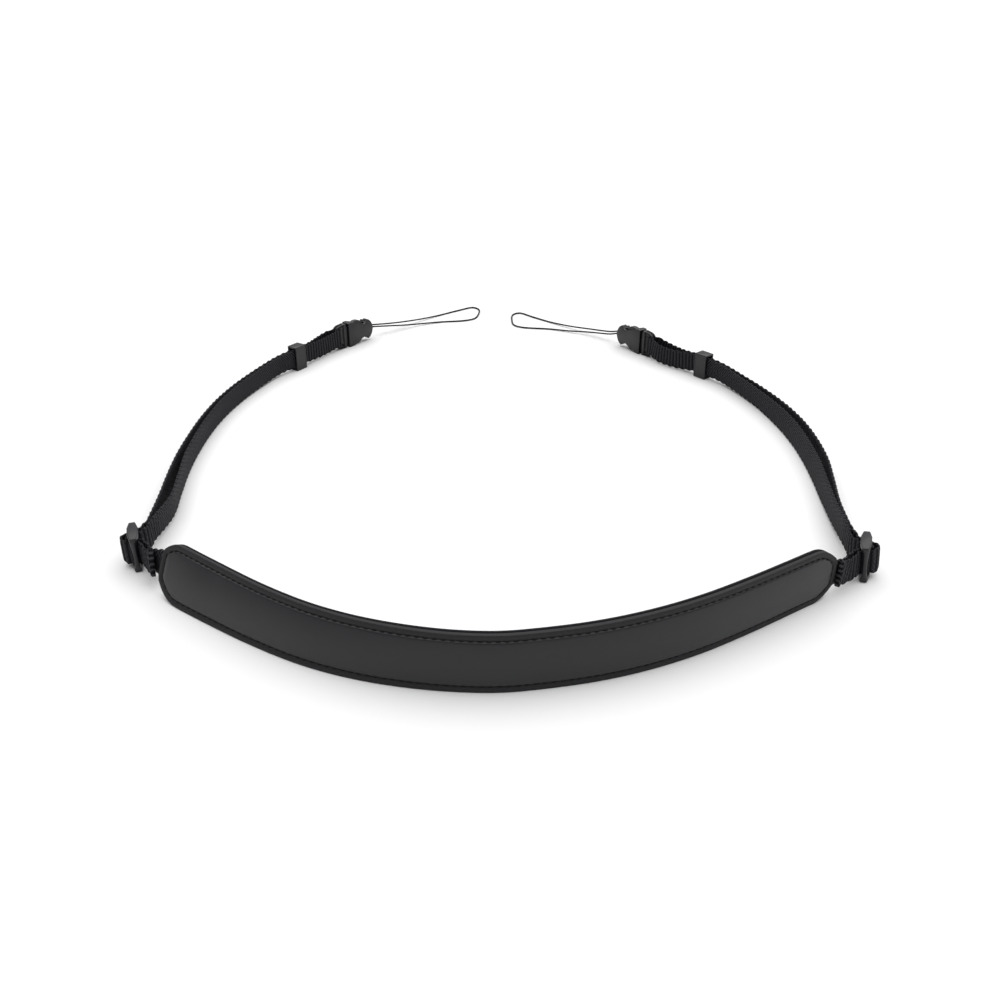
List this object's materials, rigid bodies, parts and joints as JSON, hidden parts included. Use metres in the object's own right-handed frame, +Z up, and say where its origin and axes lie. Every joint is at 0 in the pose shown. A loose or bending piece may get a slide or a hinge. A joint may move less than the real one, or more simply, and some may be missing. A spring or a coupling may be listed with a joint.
{
  "type": "camera neck strap",
  "caption": "Camera neck strap lying on its lower edge: curved leather neck pad, narrow ribbed webbing arms with glides and keepers, side release buckles and thin cord loops.",
  "frame": {"origin": "middle of the lying strap's box, without its two cord loops, on the surface it lies on", "axes": "+Y from the neck pad towards the buckles and the cord loops, +X to the wearer's left arm of the strap as the picture shows it on the right, +Z up"},
  "size_m": [0.2785, 0.3697, 0.02],
  "materials": {
    "pad_leather": "smooth black leather with a soft sheen",
    "pad_lining": "matt black soft leather lining",
    "webbing": "ribbed black nylon webbing",
    "hard_plastic": "fine textured black moulded plastic",
    "cord": "thin tightly braided black cord"
  },
  "bodies": {
    "root": {"pad_front": "pad_leather", "pad_back": "pad_lining", "webbing_left": "webbing", "glide_left": "hard_plastic", "keeper_left": "hard_plastic", "buckle_male_left": "hard_plastic", "buckle_female_left": "hard_plastic", "loop_cord_left": "cord", "webbing_right": "webbing", "glide_right": "hard_plastic", "keeper_right": "hard_plastic", "buckle_male_right": "hard_plastic", "buckle_female_right": "hard_plastic", "loop_cord_right": "cord"}
  },
  "joints": []
}
